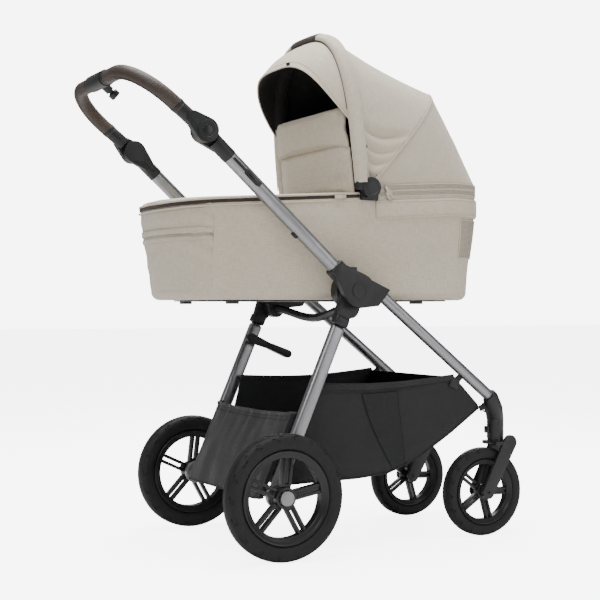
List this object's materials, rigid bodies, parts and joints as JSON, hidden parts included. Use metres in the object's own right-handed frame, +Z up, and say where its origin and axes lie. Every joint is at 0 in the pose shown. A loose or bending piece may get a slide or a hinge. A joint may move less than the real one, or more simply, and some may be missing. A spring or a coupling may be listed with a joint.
{
  "type": "baby stroller",
  "caption": "Folding baby stroller: lift-off carrycot with folding hood on a tube frame, tilting grip handle, shopping basket, large rear wheels and swivelling front casters.",
  "frame": {"origin": "on the ground, below the middle of the object's box", "axes": "+Z up, the front of the stroller faces -Y, its left side is +X"},
  "size_m": [0.6, 1.072, 1.2464],
  "materials": {
    "frame_metal": "satin anodised",
    "black_plastic": "matte moulded",
    "tyre_rubber": "matte rubber",
    "hub_grey": "satin grey",
    "cot_fabric": "fine weave",
    "grip_leather": "perforated, satin",
    "basket_fabric": "woven, matte",
    "pocket_fabric": "woven, matte",
    "mattress_fabric": "quilted cotton"
  },
  "bodies": {
    "chassis": {"hub_left": "black_plastic", "hub_right": "black_plastic", "fold_pin_left": "frame_metal", "fold_pin_right": "frame_metal", "front_leg_left": "frame_metal", "front_leg_right": "frame_metal", "elbow_left": "black_plastic", "elbow_right": "black_plastic", "cross_bar": "black_plastic", "basket": "basket_fabric"},
    "upper_frame": {"handle_arm_left": "black_plastic", "handle_arm_right": "black_plastic", "upper_tube_left": "frame_metal", "upper_tube_right": "frame_metal", "tube_sleeve_left": "black_plastic", "tube_sleeve_right": "black_plastic"},
    "handle": {"handle_knuckle_left": "black_plastic", "handle_knuckle_right": "black_plastic", "handle_grip_left": "grip_leather", "handle_grip_right": "grip_leather", "handle_console": "black_plastic"},
    "console_button": {"console_button": "black_plastic"},
    "rear_frame": {"rear_knuckle_left": "black_plastic", "rear_knuckle_right": "black_plastic", "rear_leg_left": "frame_metal", "rear_leg_right": "frame_metal", "brake_drum_left": "hub_grey", "brake_drum_right": "hub_grey", "rear_axle": "black_plastic", "rear_pocket": "pocket_fabric"},
    "brake_lever": {"brake_lever": "black_plastic"},
    "cot": {"cot_body": "cot_fabric", "cot_base": "black_plastic", "mattress": "mattress_fabric", "cot_apron": "cot_fabric", "hood_rear_panel": "cot_fabric"},
    "hood_rib": {"hood_rib": "black_plastic", "hood_front_panel": "cot_fabric"},
    "hood_bow": {"hood_bow": "cot_fabric", "bow_grip": "grip_leather", "hood_visor": "cot_fabric"},
    "wind_flap": {"wind_flap": "cot_fabric"},
    "fold_button_left": {"fold_button_left": "black_plastic"},
    "tilt_button_left": {"tilt_button_left": "black_plastic"},
    "rear_wheel_left": {"rear_rim_left": "black_plastic", "rear_tyre_left": "tyre_rubber"},
    "caster_left": {"caster_fork_left": "black_plastic"},
    "front_wheel_left": {"front_rim_left": "black_plastic", "front_tyre_left": "tyre_rubber"},
    "swivel_lock_left": {"swivel_lock_left": "black_plastic"},
    "fold_button_right": {"fold_button_right": "black_plastic"},
    "tilt_button_right": {"tilt_button_right": "black_plastic"},
    "rear_wheel_right": {"rear_rim_right": "black_plastic", "rear_tyre_right": "tyre_rubber"},
    "caster_right": {"caster_fork_right": "black_plastic"},
    "front_wheel_right": {"front_rim_right": "black_plastic", "front_tyre_right": "tyre_rubber"},
    "swivel_lock_right": {"swivel_lock_right": "black_plastic"}
  },
  "joints": [
    {"name": "fold", "type": "hinge", "parent": "chassis", "child": "upper_frame", "pos_m": [0, -0.0355, 0.612], "axis": [1, 0, 0], "range_deg": [0, 150], "deforming": ["basket"]},
    {"name": "rear_leg_fold", "type": "hinge", "parent": "chassis", "child": "rear_frame", "pos_m": [0, -0.0355, 0.612], "axis": [1, 0, 0], "range_deg": [-45, 0]},
    {"name": "handle_tilt", "type": "hinge", "parent": "upper_frame", "child": "handle", "pos_m": [0, 0.3504, 0.965], "axis": [1, 0, 0], "range_deg": [-25, 25]},
    {"name": "console_press", "type": "slide", "parent": "handle", "child": "console_button", "axis": [0, 0.7805, 0.6251], "range_m": [0, 0.004], "stiffness_N_per_m": 300},
    {"name": "brake_pull", "type": "hinge", "parent": "rear_frame", "child": "brake_lever", "pos_m": [0.2145, 0.0355, 0.492], "axis": [1, 0, 0], "range_deg": [-40, 0]},
    {"name": "cot_lift", "type": "slide", "parent": "chassis", "child": "cot", "axis": [0, 0, -1], "range_m": [-0.3, 0]},
    {"name": "hood_fold", "type": "hinge", "parent": "cot", "child": "hood_rib", "pos_m": [0, -0.0865, 0.858], "axis": [1, 0, 0], "range_deg": [0, 25], "deforming": ["hood_rear_panel", "hood_front_panel"]},
    {"name": "bow_fold", "type": "hinge", "parent": "hood_rib", "child": "hood_bow", "pos_m": [0, -0.0865, 0.858], "axis": [1, 0, 0], "range_deg": [0, 40], "deforming": ["hood_front_panel", "hood_rear_panel"]},
    {"name": "wind_flap_fold", "type": "hinge", "parent": "cot", "child": "wind_flap", "pos_m": [0, -0.0405, 0.872], "axis": [1, 0, 0], "range_deg": [-80, 0]},
    {"name": "fold_trigger_left", "type": "slide", "parent": "upper_frame", "child": "fold_button_left", "axis": [0, 0.7379, 0.6749], "range_m": [0, 0.008], "stiffness_N_per_m": 300},
    {"name": "tilt_press_left", "type": "slide", "parent": "handle", "child": "tilt_button_left", "axis": [-1, 0, 0], "range_m": [0, 0.003], "stiffness_N_per_m": 400},
    {"name": "rear_spin_left", "type": "hinge", "parent": "rear_frame", "child": "rear_wheel_left", "pos_m": [0.277, 0.1755, 0.145], "axis": [1, 0, 0], "continuous": true},
    {"name": "caster_swivel_left", "type": "hinge", "parent": "chassis", "child": "caster_left", "pos_m": [0.18, -0.4665, 0.2411], "axis": [0, 0, 1], "continuous": true},
    {"name": "front_spin_left", "type": "hinge", "parent": "caster_left", "child": "front_wheel_left", "pos_m": [0.18, -0.4255, 0.1105], "axis": [1, 0, 0], "continuous": true},
    {"name": "swivel_lock_slide_left", "type": "slide", "parent": "chassis", "child": "swivel_lock_left", "axis": [0, 0, 1], "range_m": [0, 0.006]},
    {"name": "fold_trigger_right", "type": "slide", "parent": "upper_frame", "child": "fold_button_right", "axis": [0, 0.7379, 0.6749], "range_m": [0, 0.008], "stiffness_N_per_m": 300},
    {"name": "tilt_press_right", "type": "slide", "parent": "handle", "child": "tilt_button_right", "axis": [1, 0, 0], "range_m": [0, 0.003], "stiffness_N_per_m": 400},
    {"name": "rear_spin_right", "type": "hinge", "parent": "rear_frame", "child": "rear_wheel_right", "pos_m": [-0.277, 0.1755, 0.145], "axis": [1, 0, 0], "continuous": true},
    {"name": "caster_swivel_right", "type": "hinge", "parent": "chassis", "child": "caster_right", "pos_m": [-0.18, -0.4665, 0.2411], "axis": [0, 0, 1], "continuous": true},
    {"name": "front_spin_right", "type": "hinge", "parent": "caster_right", "child": "front_wheel_right", "pos_m": [-0.18, -0.4255, 0.1105], "axis": [1, 0, 0], "continuous": true},
    {"name": "swivel_lock_slide_right", "type": "slide", "parent": "chassis", "child": "swivel_lock_right", "axis": [0, 0, 1], "range_m": [0, 0.006]}
  ],
  "couplings": [
    {"joint": "rear_leg_fold", "follows": "fold", "ratio": -0.3}
  ]
}
